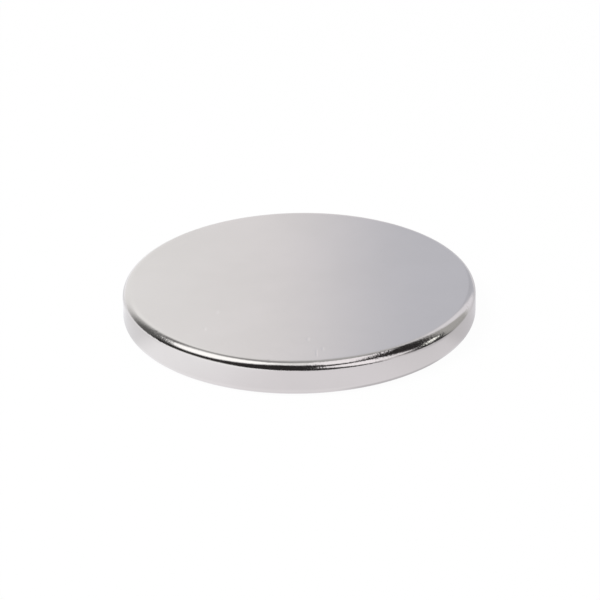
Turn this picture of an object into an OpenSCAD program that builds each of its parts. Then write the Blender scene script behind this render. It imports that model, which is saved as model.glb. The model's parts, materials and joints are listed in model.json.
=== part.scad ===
// Disc magnet: one sintered and nickel-plated disc, pressed flat and tumbled so that both edges are rounded.
// It lies on one pole face. The origin is the middle of that face, and +Z is the disc's axis.

/* [Disc] */
// Diameter across the rim, plating included
disc_d = 20; // [5:0.5:60]
// Thickness from pole face to pole face, plating included
disc_t = 2; // [1.5:0.25:12]

/* [Edges] */
// Radius that tumbling leaves on the edge between each pole face and the rim
edge_r = 0.5; // [0.1:0.05:0.7]

/* [Hidden] */
$fn = 180;
disc_r = disc_d / 2;
// Height of the rim's straight wall, between the two rounded edges
wall_h = disc_t - 2 * edge_r;

// Half of the disc's section, against the axis: both pole faces, the straight wall and the two rounded corners
module half_section() {
    square([disc_r - edge_r, disc_t]);
    translate([0, edge_r]) square([disc_r, wall_h]);
    for (z = [edge_r, edge_r + wall_h])
        translate([disc_r - edge_r, z]) circle(r = edge_r);
}

module magnet_disc() {
    color([0.82, 0.81, 0.81]) rotate_extrude() half_section();
}

magnet_disc();
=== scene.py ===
# Looks of the disc magnet: the plated disc with its tumbled edges, and the white studio that it mirrors.
import json
import math

import bpy
import numpy as np
from mathutils import Matrix, Vector, noise


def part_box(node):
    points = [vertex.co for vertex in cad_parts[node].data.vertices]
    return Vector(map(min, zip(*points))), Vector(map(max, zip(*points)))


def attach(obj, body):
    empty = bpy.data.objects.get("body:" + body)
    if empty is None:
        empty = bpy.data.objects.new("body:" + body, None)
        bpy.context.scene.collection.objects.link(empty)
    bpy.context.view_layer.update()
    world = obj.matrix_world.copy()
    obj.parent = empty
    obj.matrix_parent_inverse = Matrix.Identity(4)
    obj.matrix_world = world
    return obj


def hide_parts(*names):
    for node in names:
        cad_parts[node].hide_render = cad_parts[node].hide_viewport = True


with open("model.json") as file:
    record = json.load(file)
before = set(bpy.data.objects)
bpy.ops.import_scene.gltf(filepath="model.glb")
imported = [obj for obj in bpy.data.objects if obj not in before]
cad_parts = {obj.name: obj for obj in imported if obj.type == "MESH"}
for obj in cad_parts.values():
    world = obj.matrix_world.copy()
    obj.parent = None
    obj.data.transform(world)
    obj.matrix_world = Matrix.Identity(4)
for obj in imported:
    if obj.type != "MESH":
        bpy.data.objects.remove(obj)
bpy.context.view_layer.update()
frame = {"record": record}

NODE = "magnet_disc"
MM = 0.001
DISC_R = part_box(NODE)[1].x
DISC_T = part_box(NODE)[1].z
# The rim mount is as long as the straight wall, and the two rounded edges take the rest of the thickness
RIM = next(mount for mount in frame["record"]["mounts"] if mount["name"] == "rim")
EDGE_R = (DISC_T - RIM["dims"]["length_mm"] * MM) / 2


def direction(azimuth, elevation):
    """Unit vectors for directions in degrees. Azimuth 0 is the camera's side and 90 is the right, +X."""
    a, e = np.radians(azimuth), np.radians(elevation)
    return np.stack([np.sin(a) * np.cos(e), -np.cos(a) * np.cos(e), np.sin(e)], -1)


# ---------------------------------------------------------------- camera
CAMERA_ELEVATION = 26.12
CAMERA_ROLL = math.radians(0.92)
CAMERA_DISTANCE = 20 * DISC_R
CAMERA_LENS = 211.4
# The camera looks just beside the disc's middle, which frames it as the photo does
AIM = Vector((0.0044 * DISC_R, 0, DISC_T / 2 - 0.0029 * DISC_R))


def make_camera():
    data = bpy.data.cameras.new("camera")
    data.lens = CAMERA_LENS
    data.sensor_width = 36
    data.clip_start = 0.01
    data.clip_end = 5
    camera = bpy.data.objects.new("camera", data)
    back = Vector(direction(0, CAMERA_ELEVATION))
    right = Vector((1, 0, 0))
    up = back.cross(right)
    cos, sin = math.cos(CAMERA_ROLL), math.sin(CAMERA_ROLL)
    axes = Matrix((cos * right - sin * up, sin * right + cos * up, back)).transposed()
    camera.matrix_world = Matrix.Translation(AIM + back * CAMERA_DISTANCE) @ axes.to_4x4()
    bpy.context.scene.collection.objects.link(camera)
    bpy.context.scene.camera = camera


# ---------------------------------------------------------------- shader helpers
WHITE = (1, 1, 1, 1)


def new_material(name):
    material = bpy.data.materials.new(name)
    material.use_nodes = True
    material.node_tree.nodes.clear()
    return material


def add(tree, kind, inputs=(), **settings):
    """A node of this kind. Each input is a plain value, or another node's socket to link."""
    node = tree.nodes.new(kind)
    for name, value in settings.items():
        setattr(node, name, value)
    for name, value in dict(inputs).items():
        if isinstance(value, bpy.types.NodeSocket):
            tree.links.new(value, node.inputs[name])
        else:
            node.inputs[name].default_value = value
    return node


def math_node(tree, operation, *inputs):
    """The result of a Math node."""
    return add(tree, "ShaderNodeMath", enumerate(inputs), operation=operation).outputs[0]


def mix_colours(tree, factor, a, b):
    """Colour a where the factor is 0, and colour b where it is 1."""
    return add(tree, "ShaderNodeMix", {"Factor": factor, "A": a, "B": b}, data_type="RGBA").outputs["Result"]


def remap(tree, value, low, high, to_low, to_high):
    """value moved from the range low..high to to_low..to_high, with smooth ends."""
    inputs = {"Value": value, "From Min": low, "From Max": high, "To Min": to_low, "To Max": to_high}
    return add(tree, "ShaderNodeMapRange", inputs, interpolation_type="SMOOTHSTEP").outputs["Result"]


def painted_light(tree):
    """The colour attribute "light" of a painted mesh."""
    return add(tree, "ShaderNodeAttribute", attribute_name="light").outputs["Color"]


def emission(tree, colour):
    """A surface that glows in this colour, where 1 is white."""
    return add(tree, "ShaderNodeEmission", {"Color": colour, "Strength": 1.0}).outputs[0]


# ---------------------------------------------------------------- the disc's shape
# Steps of the lathe mesh: round the axis, round an edge, down half the wall, and across each part of a face
SEGMENTS = 1200
EDGE_STEPS = 18
WALL_STEPS = 4
FACE_STEPS = 8
# The faces fall away a little towards the edge, where tumbling has worn them
DUB_WIDTH = 1.0 * MM
DUB_DEPTH = 0.006 * MM
# Slight unevenness of the rounded edges, always inwards
WAVE_LENGTH = 0.8 * MM
WAVE_DEPTH = 0.004 * MM
# How deep the tumbled grain on the edges is at its coarsest, and its share of that elsewhere
GRAIN_DEPTH = 0.013 * MM
GRAIN_BASE = 0.25
# Where the grain is coarse: (azimuth, half width), in degrees
GRAIN_PLACES = [(-53, 6), (5, 2.5), (27, 7), (44, 6), (118, 9), (-140, 8)]
# Small nicks on the upper edge: (azimuth, angle down from the face), in degrees, with their half widths below
NICKS = [(-54, 34), (-10, 16), (27, 22), (72, 40), (150, 30), (-115, 25)]
NICK_AZIMUTH = 0.45
NICK_ANGLE = 12
NICK_DEPTH = 0.007 * MM
# A ring whose share in the rounding is below this lies on a face or the wall, and stays even
LEAST_SHARE = 0.01


def half_section():
    """The upper half of the section, from the axis to mid-rim: (radius, height, angle round the edge)."""
    flat_r = DISC_R - EDGE_R
    inner_r = flat_r - DUB_WIDTH
    wall = DISC_T / 2 - EDGE_R
    points = [(inner_r * i / FACE_STEPS, DISC_T, 0.0) for i in range(FACE_STEPS)]
    points += [(inner_r + DUB_WIDTH * i / FACE_STEPS, DISC_T, 0.0) for i in range(FACE_STEPS)]
    for i in range(EDGE_STEPS + 1):
        angle = math.pi / 2 * i / EDGE_STEPS
        height = DISC_T - EDGE_R + EDGE_R * math.cos(angle)
        points.append((flat_r + EDGE_R * math.sin(angle), height, angle))
    for i in range(1, WALL_STEPS + 1):
        points.append((DISC_R, DISC_T - EDGE_R - wall * i / WALL_STEPS, math.pi / 2))
    return points


def worn_height(radius, height):
    """Height above mid-plane, lowered near the edge by the wear."""
    above = height - DISC_T / 2
    into = max(0.0, radius - (DISC_R - EDGE_R - DUB_WIDTH)) / (EDGE_R + DUB_WIDTH)
    return above * (1 - DUB_DEPTH * into ** 2 / (DISC_T / 2))


def whole_section():
    """The section from the top's middle to the underside's: (radius, height, angle, 1 up or -1 down)."""
    upper = [(radius, worn_height(radius, height), angle, 1) for radius, height, angle in half_section()]
    lower = [(radius, -height, angle, -1) for radius, height, angle, _ in reversed(upper[:-1])]
    return upper + lower


def turn(azimuth, other):
    """Degrees between two azimuths."""
    return abs((azimuth - other + 180) % 360 - 180)


def coarseness(azimuth):
    """How much coarser than its base the grain is, from 0 to 1."""
    return max(math.exp(-(turn(azimuth, place) / width) ** 2) for place, width in GRAIN_PLACES)


def nick_depth(azimuth, angle):
    """How deep the nicks go at this azimuth and this angle down from the upper face, in degrees."""
    depth = 0.0
    for place, tilt in NICKS:
        off = math.hypot(turn(azimuth, place) / NICK_AZIMUTH, (angle - tilt) / NICK_ANGLE)
        depth += NICK_DEPTH * math.exp(-off ** 2)
    return depth


def disc_points():
    """The points of the lathe mesh, heights from mid-plane, and how coarse the tumbled grain is at each."""
    first, *rings, last = whole_section()
    azimuths = [360 * k / SEGMENTS for k in range(SEGMENTS)]
    outwards = [Vector(direction(azimuth, 0)) for azimuth in azimuths]
    coarse = [GRAIN_BASE + (1 - GRAIN_BASE) * coarseness(azimuth) for azimuth in azimuths]
    points = [(0, 0, first[1])]
    grain = [0.0]
    for radius, height, angle, up in rings:
        # 1 halfway round the edge, and 0 on the faces and the wall
        share = math.sqrt(max(0.0, math.sin(2 * angle)))
        for azimuth, outward, coarse_here in zip(azimuths, outwards, coarse):
            spot = outward * radius + Vector((0, 0, height))
            if share > LEAST_SHARE:
                inward = share * WAVE_DEPTH * (0.5 + 0.5 * noise.noise(spot / WAVE_LENGTH))
                if up > 0:
                    inward += nick_depth(azimuth, math.degrees(angle))
                spot -= inward * (outward * math.sin(angle) + Vector((0, 0, up * math.cos(angle))))
            points.append(tuple(spot))
            grain.append(share * coarse_here)
    points.append((0, 0, last[1]))
    grain.append(0.0)
    return points, grain


def disc_faces(last):
    """Triangles round both middles, and quads between the rings. last is the index of the last point."""
    faces = []
    for k in range(SEGMENTS):
        nxt = (k + 1) % SEGMENTS
        faces.append((0, 1 + k, 1 + nxt))
        faces.append((last, last - SEGMENTS + nxt, last - SEGMENTS + k))
        for a in range(1, last - SEGMENTS, SEGMENTS):
            b = a + SEGMENTS
            faces.append((a + k, b + k, b + nxt, a + nxt))
    return faces


def make_disc():
    """The whole plated disc as one closed lathe mesh."""
    points, grain = disc_points()
    mesh = bpy.data.meshes.new("plated_disc")
    mesh.from_pydata([(x, y, z + DISC_T / 2) for x, y, z in points], [], disc_faces(len(points) - 1))
    mesh.attributes.new("grain", "FLOAT", "POINT").data.foreach_set("value", grain)
    mesh.shade_smooth()
    mesh.update()
    mesh.materials.append(nickel_plating())
    disc = bpy.data.objects.new("plated_disc", mesh)
    bpy.context.scene.collection.objects.link(disc)
    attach(disc, "root")
    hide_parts(NODE)


# ---------------------------------------------------------------- the plating
# Faint marks on the upper face, in mm: (x, y, half width, half length, depth, how much paler)
FACE_MARKS = [
    (-4.55, -3.5, 0.13, 0.40, 0.002, 0.13),
    (-5.2, -5.6, 0.12, 0.35, 0.002, 0.13),
    (0.45, -7.0, 0.14, 0.35, 0.0022, 0.08),
    (0.9, -8.7, 0.08, 0.7, 0.0022, 0.08),
    (1.25, -8.2, 0.12, 0.30, 0.0022, 0.08),
]
# The tone follows a wide cloud and the roughness a fine mottle, each between two values
TONE_DARK = (0.672, 0.652, 0.636, 1)
TONE_PALE = (0.690, 0.668, 0.654, 1)
ROUGHNESS = (0.10, 0.14)
# What the coarsest grain adds to the roughness
GRAIN_ROUGHNESS = 0.02
CLOUD_SIZE = 3.5 * MM
MOTTLE_SIZE = 0.35 * MM
PIT_SIZE = 0.13 * MM
# Cloud and mottle go from one value to the other over this part of the noise's range
NOISE_RANGE = (0.3, 0.7)


def noise_texture(tree, place, size, detail, roughness):
    inputs = {"Vector": place, "Scale": 1 / size, "Detail": detail, "Roughness": roughness}
    return add(tree, "ShaderNodeTexNoise", inputs).outputs["Fac"]


def face_mark(tree, place, x, y, half_width, half_length):
    """1 in the middle of a mark on the upper face, given in mm, and 0 from its border on and 1 mm below."""
    off = add(tree, "ShaderNodeVectorMath", {0: place, 1: (-x * MM, -y * MM, -DISC_T)}, operation="ADD")
    stretch = (1 / (half_width * MM), 1 / (half_length * MM), 1 / MM)
    scaled = add(tree, "ShaderNodeVectorMath", {0: off.outputs["Vector"], 1: stretch}, operation="MULTIPLY")
    away = add(tree, "ShaderNodeVectorMath", {0: scaled.outputs["Vector"]}, operation="LENGTH")
    return remap(tree, away.outputs["Value"], 0, 1, 1, 0)


def nickel_plating():
    """Bright nickel: a mirror with a faint haze, a tumbled grain on the rounded edges, and a few marks."""
    material = new_material("nickel_plating")
    tree = material.node_tree
    place = add(tree, "ShaderNodeTexCoord").outputs["Object"]
    coarse = add(tree, "ShaderNodeAttribute", attribute_name="grain").outputs["Fac"]
    cloud = noise_texture(tree, place, CLOUD_SIZE, detail=3, roughness=0.5)
    mottle = noise_texture(tree, place, MOTTLE_SIZE, detail=3, roughness=0.5)
    pits = noise_texture(tree, place, PIT_SIZE, detail=2, roughness=0.6)
    tone = mix_colours(tree, remap(tree, cloud, *NOISE_RANGE, 0, 1), TONE_DARK, TONE_PALE)
    rough = math_node(tree, "ADD", remap(tree, mottle, *NOISE_RANGE, *ROUGHNESS),
                      math_node(tree, "MULTIPLY", coarse, GRAIN_ROUGHNESS))
    # The bump's heights are in mm
    height = math_node(tree, "MULTIPLY", pits, math_node(tree, "MULTIPLY", coarse, GRAIN_DEPTH / MM))
    paleness = 0
    for x, y, half_width, half_length, depth, paler in FACE_MARKS:
        mark = face_mark(tree, place, x, y, half_width, half_length)
        paleness = math_node(tree, "ADD", paleness, math_node(tree, "MULTIPLY", mark, paler))
        height = math_node(tree, "SUBTRACT", height, math_node(tree, "MULTIPLY", mark, depth))
    bump = add(tree, "ShaderNodeBump", {"Height": height, "Strength": 1.0, "Distance": MM})
    shader = add(tree, "ShaderNodeBsdfPrincipled",
                 {"Base Color": mix_colours(tree, paleness, tone, WHITE), "Roughness": rough,
                  "Normal": bump.outputs["Normal"], "Metallic": 1.0})
    add(tree, "ShaderNodeOutputMaterial", {"Surface": shader.outputs[0]})
    return material


# ---------------------------------------------------------------- the studio, which isn't part of the object
# What the plating mirrors: a pale backdrop behind with a shaded part on its right, soft boxes overhead,
# a window at the front right and the dark between them. A panel's corners are directions from the disc:
# azimuth and elevation in degrees, as direction() takes them. Then come its softness, which is the width
# of its blurred border in degrees, its strength and its tint. Each panel is convex and is painted over
# the ones before it.
NEUTRAL = (1.0, 1.0, 1.0)
PINK = (1.0, 0.968, 1.0)
COOL = (0.97, 0.985, 1.075)
LILAC = (1.0, 0.985, 1.04)
GREEN = (1.0, 1.01, 0.97)
WARM = (1.0, 0.99, 0.97)
ROOM = (0.031, 0.029, 0.029)
PANELS = {
    "ceiling": ([(0, 60), (60, 68), (120, 66.5), (180, 61), (-150, 53), (-120, 53), (-60, 62)],
                12, 1.0, NEUTRAL),
    "ceiling_back": ([(150, 50), (-140, 50), (-112, 70), (-80, 82), (130, 76)], 20, 0.37, NEUTRAL),
    "left_dim": ([(-102, -30), (-102, 18), (-110, 36), (-130, 50), (-150, 52), (-150, -30)],
                 8, 0.13, NEUTRAL),
    "left_haze": ([(-129, -40), (-129, 10), (-131.5, 24), (-138.5, 36), (-147, 43), (-165, 47),
                   (180, 48), (170, -40)], 30, 0.98, NEUTRAL),
    "right_side": ([(96, -30), (96, 20), (103, 34), (121, 48), (150, 49), (150, -30)], 12, 0.50, WARM),
    "gap": ([(82, -8), (82, 25), (99, 23), (99, -8)], 2, 0.035, NEUTRAL),
    "backdrop": ([(-144, -30), (-144, 10), (-150, 32), (-158, 46), (-167, 53), (152, 52.5), (138, 47.5),
                  (127, 36), (131, -30)], 14, 1.0, NEUTRAL),
    "backdrop_glow": ([(-145, 30), (-152, 29.3), (-161, 29), (-170, 29), (-177, 29.3), (-177, 35),
                       (-147, 34.5)], 5, 1.09, NEUTRAL),
    "backdrop_right": ([(174, -30), (174, 46), (152, 51), (138, 48), (127, 36), (131, -30)],
                       9, 0.94, LILAC),
    "shade_wide": ([(-177.8, -15), (-177.8, 50), (163, 44), (143, 22), (143, -13)], 14, 0.90, PINK),
    "shade_up": ([(-178, 37.5), (-178, 64), (158, 64), (160.5, 40)], 8, 0.56, NEUTRAL),
    "shade": ([(162, -17), (178.3, 22), (178.3, 38), (172, 38), (160, 36), (150, 30), (144, 20),
               (143, -13)], 6, 0.68, COOL),
    "shade_end": ([(161, -13), (162, 34), (151, 30), (144, 20.5), (143, -13)], 7, 0.59, COOL),
    "low_left": ([(-96, -20), (-95, -3), (-88, 1.5), (-67, 7.5), (-50, 7), (-18, -2), (-12, -20)],
                 10, 1.12, NEUTRAL),
    "window_side": ([(48, -4), (48, 29), (53, 27), (64, 21.5), (71.5, 9), (71.5, 1), (60, -3)],
                    7, 0.99, PINK),
    "window": ([(13, 20), (16, 32), (40, 37), (50, 32), (53, 20), (53, -5), (45, -8)], 8, 1.2, PINK),
    "sliver": ([(83.5, 0), (84.5, 10), (89, 19.5), (95, 19), (93.5, 9), (89, 0.5)], 2, 1.75, GREEN),
    "roof_left": ([(-118, 49), (-110, 38.5), (-93, 30), (-82, 29), (-61, 36.5), (-40, 51), (-29, 60),
                   (-26, 72), (-50, 82), (-95, 80), (-118, 62)], 14, 1.5, NEUTRAL),
    "roof_left_end": ([(-90, 26), (-96, 34), (-104, 39.8), (-113, 44.7), (-118, 45.5), (-118, 36),
                       (-100, 24), (-91, 22)], 2.5, 0.32, NEUTRAL),
    "roof_left_foot": ([(-89, 24), (-92, 29), (-96, 33), (-104, 35), (-116, 36), (-118, 30), (-100, 20),
                        (-90, 20)], 6, 0.14, NEUTRAL),
    "roof_right": ([(9, 62), (19, 52), (40, 49), (54, 55.5), (67, 62.5), (75, 84), (10, 84)],
                   8, 1.19, PINK),
    "roof_far": ([(66, 61.5), (76, 63.4), (88, 64.8), (110, 64.2), (128, 62.5), (140, 62), (128, 84),
                  (50, 84)], 3.5, 1.15, PINK),
}


def smooth(values, low, high, to_low, to_high):
    """values moved from low..high to to_low..to_high, with smooth ends, on numpy arrays."""
    t = np.clip((values - low) / (high - low), 0, 1)
    return to_low + (to_high - to_low) * t * t * (3 - 2 * t)


def panel_mask(rays, corners, softness):
    """How much of a panel each ray sees, from 0 to 1."""
    corners = [direction(*corner) for corner in corners]
    inside = np.full(len(rays), 90.0)
    for here, there in zip(corners, corners[1:] + corners[:1]):
        side = np.cross(here, there)
        side *= np.sign(side @ sum(corners)) / np.linalg.norm(side)
        inside = np.minimum(inside, np.degrees(np.arcsin(np.clip(rays @ side, -1, 1))))
    return smooth(inside, -softness / 2, softness / 2, 0, 1)


def tent_light(rays):
    """The room's light along each ray."""
    light = np.tile(np.array(ROOM), (len(rays), 1))
    for corners, softness, strength, tint in PANELS.values():
        mask = panel_mask(rays, corners, softness)[:, None]
        light = light * (1 - mask) + strength * np.array(tint) * mask
    return light


# Reflections see the floor painted as a white sheet under the disc, ending along a straight line, in front
# and to the right:
# SHEET_SLOPE * x - y is SHEET_EDGE there, in disc radii. Past it the table is painted dark, with a painted
# reflection of the room.
SHEET_SLOPE = 2.4
SHEET_EDGE = 3.3
# The sheet's painted light from left to right, where 1 is white, and its tint at the left and elsewhere
SHEET_LEFT = 1.11
SHEET_MIDDLE = 0.925
SHEET_RIGHT = 0.815
SHEET_TINT_LEFT = (1.0, 1.0, 1.03)
SHEET_TINT = (1.0, 0.98, 1.02)
# The place on the disc, in disc radii, that rays reach the table from
TABLE_RAYS_FROM = (0.5, -0.6)


def near(values, middle, full, none):
    """1 within full of the middle, 0 from none on, and soft between."""
    return smooth(abs(values - middle), full, none, 1, 0)


def ring(radius, start, full, fade, end):
    """1 between full and fade, 0 up to start and from end on, and soft between."""
    return smooth(radius, start, full, 0, 1) * smooth(radius, fade, end, 1, 0)


def painted_sheet_light(x, y, radius, azimuth):
    """Painted light and shade of the sheet at each place, as reflections see it."""
    strength = smooth(x, -1.0, 0.0, SHEET_LEFT, SHEET_MIDDLE)
    strength += smooth(x, 0.3, 1.3, 0, SHEET_RIGHT - SHEET_MIDDLE)
    # Close to the disc: painted shadow of the disc, a dim patch at each side and dimmer behind both of its
    # ends
    shadow_near = smooth(radius, 1.4, 2.0, 1, 0)
    strength *= 1 - shadow_near * (0.20 * near(azimuth, -82, 6, 22) + 0.18 * near(azimuth, 77, 5, 16))
    strength *= 1 - shadow_near * smooth(-azimuth, 95, 112, 0, 0.25)
    strength *= 1 - shadow_near * (smooth(azimuth, 82, 94, 0, 0.12) + smooth(azimuth, 98, 112, 0, 0.06))
    # Along the disc's foot: a thin painted highlight at the front, and a thin painted shadow of the disc at
    # the front right
    strength += 0.05 * ring(radius, 0.985, 1.005, 1.02, 1.06) * near(azimuth, -12, 20, 40)
    strength -= 0.26 * ring(radius, 0.965, 0.98, 0.995, 1.02) * near(azimuth, 34, 12, 24)
    # Farther off at the front right the sheet is painted dark
    beyond = smooth(radius + smooth(azimuth, 7, 13, 0, 0.2), 1.9, 2.2, 0, 1)
    strength *= 1 - 0.9 * beyond * smooth(azimuth, 1, 4, 0, 1) * smooth(azimuth, 50, 80, 1, 0)
    # Far off, painted light makes it paler at the front left, and painted shade dims a stretch at the back
    # left
    far = smooth(radius, 1.5, 3, 0, 1)
    strength += 0.12 * far * smooth(x, -1.5, 0, 1, 0) * smooth(y, 0, 1, 1, 0)
    strength *= 1 - 0.28 * far * near(azimuth, -112, 10, 30)
    return strength[:, None]


def table_light(x, y, azimuth):
    """The table past the sheet, with a painted reflection of the room, weakest round azimuth 65."""
    from_x, from_y = TABLE_RAYS_FROM
    away = np.stack([x - from_x, y - from_y, 0 * x], -1)
    sheen = smooth(azimuth, 45, 62, 0.65, 0.15) + smooth(azimuth, 68, 80, 0, 0.75)
    return sheen[:, None] * tent_light(away / np.linalg.norm(away, axis=1)[:, None])


def floor_light(x, y):
    """The floor's painted light, shade and reflections as the plating mirrors them, over places given in disc
    radii.
    """
    radius = np.hypot(x, y)
    azimuth = np.degrees(np.arctan2(x, -y))
    left = smooth(x, -0.9, -0.2, 1, 0)[:, None]
    tint = np.array(SHEET_TINT) * (1 - left) + np.array(SHEET_TINT_LEFT) * left
    past = (SHEET_SLOPE * x - y - SHEET_EDGE) / math.hypot(SHEET_SLOPE, 1)
    on_table = smooth(past, -0.1, 0.05, 0, 1)[:, None]
    sheet = painted_sheet_light(x, y, radius, azimuth) * tint
    return sheet * (1 - on_table) + table_light(x, y, azimuth) * on_table


def painted_mesh(name, points, rows, columns, light):
    """A mesh over a grid of points that closes round its columns, with the colour attribute "light"."""
    here = np.arange(columns)
    nxt = (here + 1) % columns
    strips = []
    for row in range(rows - 1):
        a, b = row * columns, (row + 1) * columns
        strips.append(np.stack([a + here, a + nxt, b + nxt, b + here], -1))
    mesh = bpy.data.meshes.new(name)
    mesh.from_pydata(points.tolist(), [], np.concatenate(strips).tolist())
    colours = np.concatenate([light, np.ones((len(points), 1))], 1)
    mesh.attributes.new("light", "FLOAT_COLOR", "POINT").data.foreach_set("color", colours.ravel())
    staged = bpy.data.objects.new(name, mesh)
    bpy.context.scene.collection.objects.link(staged)
    return staged


TENT_R = 18 * DISC_R
TENT_FOOT = -5
TENT_ACROSS = 480
TENT_UP = 160


def make_tent():
    """A dome that only reflections see, painted with the room's light."""
    azimuths = np.arange(TENT_ACROSS) * 360 / TENT_ACROSS
    elevations = np.linspace(TENT_FOOT, 90, TENT_UP)
    elevation, azimuth = np.meshgrid(elevations, azimuths, indexing="ij")
    rays = direction(azimuth, elevation).reshape(-1, 3)
    tent = painted_mesh("tent", rays * TENT_R, TENT_UP, TENT_ACROSS, tent_light(rays))
    material = new_material("tent")
    tree = material.node_tree
    add(tree, "ShaderNodeOutputMaterial", {"Surface": emission(tree, painted_light(tree))})
    tent.data.materials.append(material)
    for ray in ("camera", "diffuse", "transmission", "volume_scatter", "shadow"):
        setattr(tent, "visible_" + ray, False)


# The floor's rings, in disc radii: far apart under the disc, close together at its foot, and then
# farther and farther apart out to the border
FLOOR_ACROSS = 340
FLOOR_BORDER = 120
FLOOR_RINGS = np.concatenate([
    np.linspace(0.01, 0.85, 9),
    np.linspace(0.9, 1.3, 81),
    1.3 + np.sinh(np.linspace(0, math.asinh(FLOOR_BORDER), 170))[1:],
])
# How much of the floor that the camera and reflections see is plain glow. The rest is lit, and keeps the
# object's shadow.
FLOOR_GLOW = 0.97
FLOOR_COLOUR = (0.9, 0.9, 0.9, 1)


def make_floor():
    """A floor that the camera sees white. Reflections see floor_light, and everything else a pale floor."""
    azimuths = np.radians(np.arange(FLOOR_ACROSS) * 360 / FLOOR_ACROSS)
    r, a = np.meshgrid(FLOOR_RINGS, azimuths, indexing="ij")
    x, y = (r * np.sin(a)).ravel(), (-r * np.cos(a)).ravel()
    points = np.stack([x, y, 0 * x], -1) * DISC_R
    floor = painted_mesh("floor", points, len(FLOOR_RINGS), FLOOR_ACROSS, floor_light(x, y))
    material = new_material("floor")
    tree = material.node_tree
    path = add(tree, "ShaderNodeLightPath").outputs
    seen = math_node(tree, "MAXIMUM", path["Is Camera Ray"],
                     math_node(tree, "MAXIMUM", path["Is Glossy Ray"], path["Is Transmission Ray"]))
    colour = mix_colours(tree, path["Is Glossy Ray"], WHITE, painted_light(tree))
    lit = add(tree, "ShaderNodeBsdfDiffuse", {"Color": FLOOR_COLOUR})
    mix = add(tree, "ShaderNodeMixShader", {0: math_node(tree, "MULTIPLY", seen, FLOOR_GLOW),
                                            1: lit.outputs[0], 2: emission(tree, colour)})
    add(tree, "ShaderNodeOutputMaterial", {"Surface": mix.outputs[0]})
    floor.data.materials.append(material)


WORLD_FILL = 0.55


def make_world():
    """White where the camera looks past the floor, and a soft fill for everything else."""
    world = bpy.data.worlds.new("studio")
    world.use_nodes = True
    tree = world.node_tree
    tree.nodes.clear()
    path = add(tree, "ShaderNodeLightPath").outputs
    seen = math_node(tree, "MAXIMUM", path["Is Camera Ray"], path["Is Transmission Ray"])
    fill = add(tree, "ShaderNodeBackground", {"Color": WHITE, "Strength": WORLD_FILL})
    white = add(tree, "ShaderNodeBackground", {"Color": WHITE, "Strength": 1.0})
    mix = add(tree, "ShaderNodeMixShader", {0: seen, 1: fill.outputs[0], 2: white.outputs[0]})
    add(tree, "ShaderNodeOutputWorld", {"Surface": mix.outputs[0]})
    bpy.context.scene.world = world


def make_lamp(name, azimuth, elevation, distance, size, watts):
    """A round lamp that looks at the disc. Reflections don't see it."""
    data = bpy.data.lights.new(name, "AREA")
    data.shape = "DISK"
    data.size = size
    data.energy = watts
    lamp = bpy.data.objects.new(name, data)
    lamp.location = Vector(direction(azimuth, elevation)) * distance
    lamp.rotation_euler = lamp.location.to_track_quat("Z", "Y").to_euler()
    lamp.visible_glossy = False
    bpy.context.scene.collection.objects.link(lamp)


make_camera()
make_disc()
make_tent()
make_floor()
make_world()
make_lamp("key", azimuth=-60, elevation=55, distance=0.4, size=0.25, watts=1.2)
bpy.context.scene.view_settings.view_transform = "Standard"
